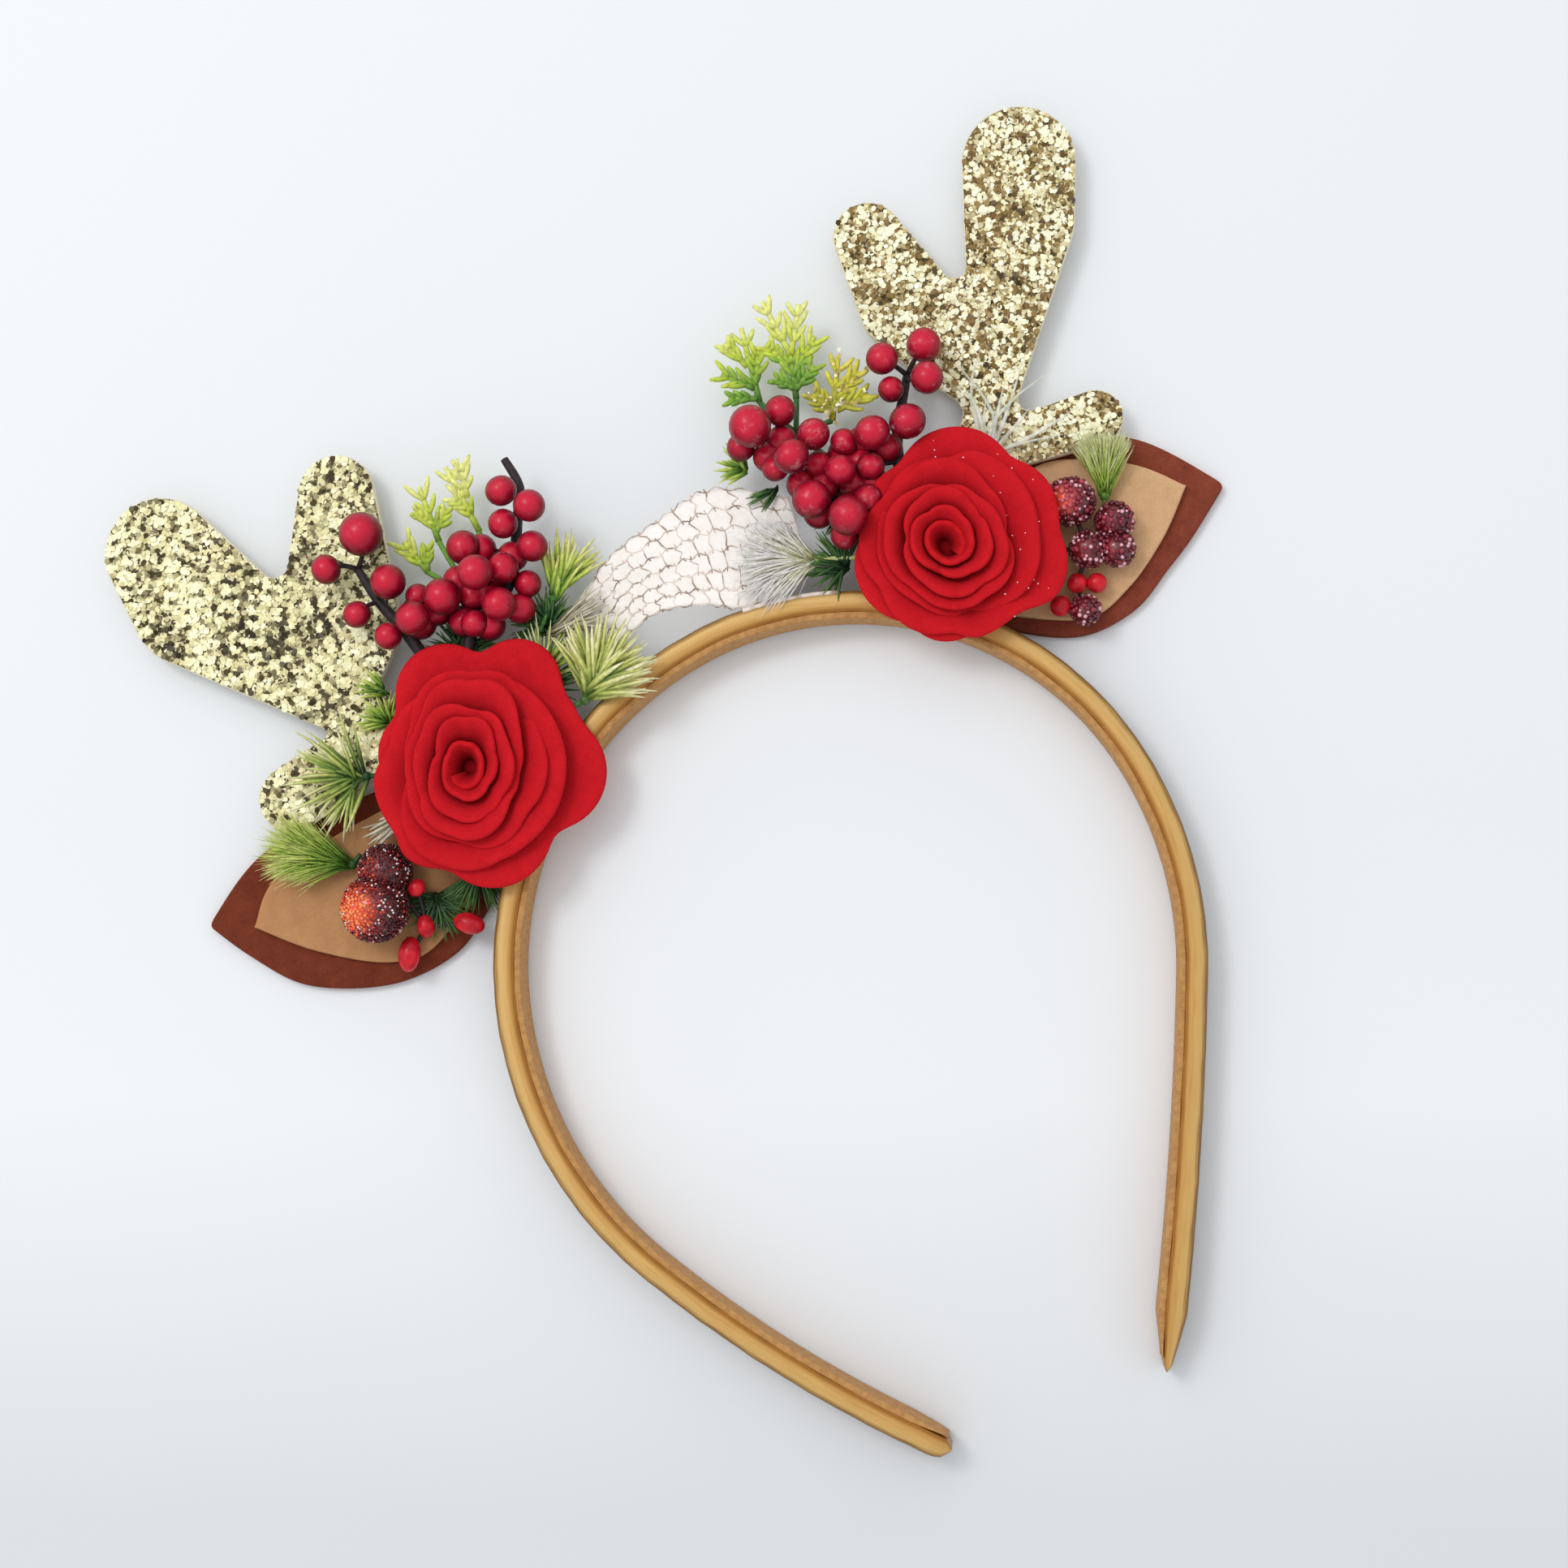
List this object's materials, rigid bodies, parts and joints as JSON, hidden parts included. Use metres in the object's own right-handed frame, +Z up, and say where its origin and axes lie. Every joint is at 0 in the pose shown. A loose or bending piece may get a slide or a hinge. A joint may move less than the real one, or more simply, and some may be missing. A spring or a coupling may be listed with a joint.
{
  "type": "christmas headband",
  "caption": "Slim wrapped alice headband with glitter reindeer antlers, felt ears, rolled felt roses, berry picks, sprigs and veil net, worn on the head.",
  "frame": {"origin": "middle of the hoop's crown, on the edge that the headband lies on", "axes": "+Z up from the lying edge to the trimmed front, +Y from the hoop's ends towards the antlers, +X to the right seen from above"},
  "size_m": [0.2002, 0.2156, 0.0202],
  "materials": {
    "gold_satin": "satin ribbon wrapping, gold",
    "lining_ribbon": "matt woven ribbon, orange-gold",
    "glitter": "coarse gold glitter sheet on cream felt",
    "brown_felt": "matt felt, red-brown",
    "tan_felt": "matt felt, tan",
    "red_felt": "matt felt, red",
    "berry_red": "satin-gloss lacquer, crimson",
    "dark_stem": "paper-wrapped wire, near-black brown",
    "lime_sprig": "moulded sprig, lime to dark green",
    "pale_needle": "fine cut needles, pale green",
    "sugared_fruit": "maroon crusted with tiny clear beads",
    "net": "fine veil net, beige"
  },
  "bodies": {
    "root": {"band": "gold_satin", "band_lining": "lining_ribbon", "antler_left": "glitter", "ear_left": "brown_felt", "ear_left_inner": "tan_felt", "rose_left": "red_felt", "berry_left_01": "berry_red", "berry_left_02": "berry_red", "berry_left_03": "berry_red", "berry_left_04": "berry_red", "berry_left_05": "berry_red", "berry_left_06": "berry_red", "berry_left_07": "berry_red", "berry_left_08": "berry_red", "berry_left_09": "berry_red", "berry_left_10": "berry_red", "berry_left_11": "berry_red", "berry_left_12": "berry_red", "berry_left_13": "berry_red", "berry_left_14": "berry_red", "berry_left_15": "berry_red", "berry_left_16": "berry_red", "berry_left_17": "berry_red", "berry_left_18": "berry_red", "berry_stems_left": "dark_stem", "sugared_pick_left": "sugared_fruit", "antler_right": "glitter", "ear_right": "brown_felt", "ear_right_inner": "tan_felt", "rose_right": "red_felt", "berry_right_01": "berry_red", "berry_right_02": "berry_red", "berry_right_03": "berry_red", "berry_right_04": "berry_red", "berry_right_05": "berry_red", "berry_right_06": "berry_red", "berry_right_07": "berry_red", "berry_right_08": "berry_red", "berry_right_09": "berry_red", "berry_right_10": "berry_red", "berry_right_11": "berry_red", "berry_right_12": "berry_red", "berry_right_13": "berry_red", "berry_right_14": "berry_red", "berry_right_15": "berry_red", "berry_right_16": "berry_red", "berry_right_17": "berry_red", "berry_right_18": "berry_red", "berry_right_19": "berry_red", "berry_stems_right": "dark_stem", "sugared_pick_right": "sugared_fruit", "cedar_left": "lime_sprig", "cedar_left_small": "lime_sprig", "cedar_right": "lime_sprig", "needle_spray_left": "pale_needle", "brush_tuft_left": "pale_needle", "pale_tuft_left": "pale_needle", "brush_tuft_right": "pale_needle", "pale_brush_right": "pale_needle", "veil_net": "net"}
  },
  "joints": []
}
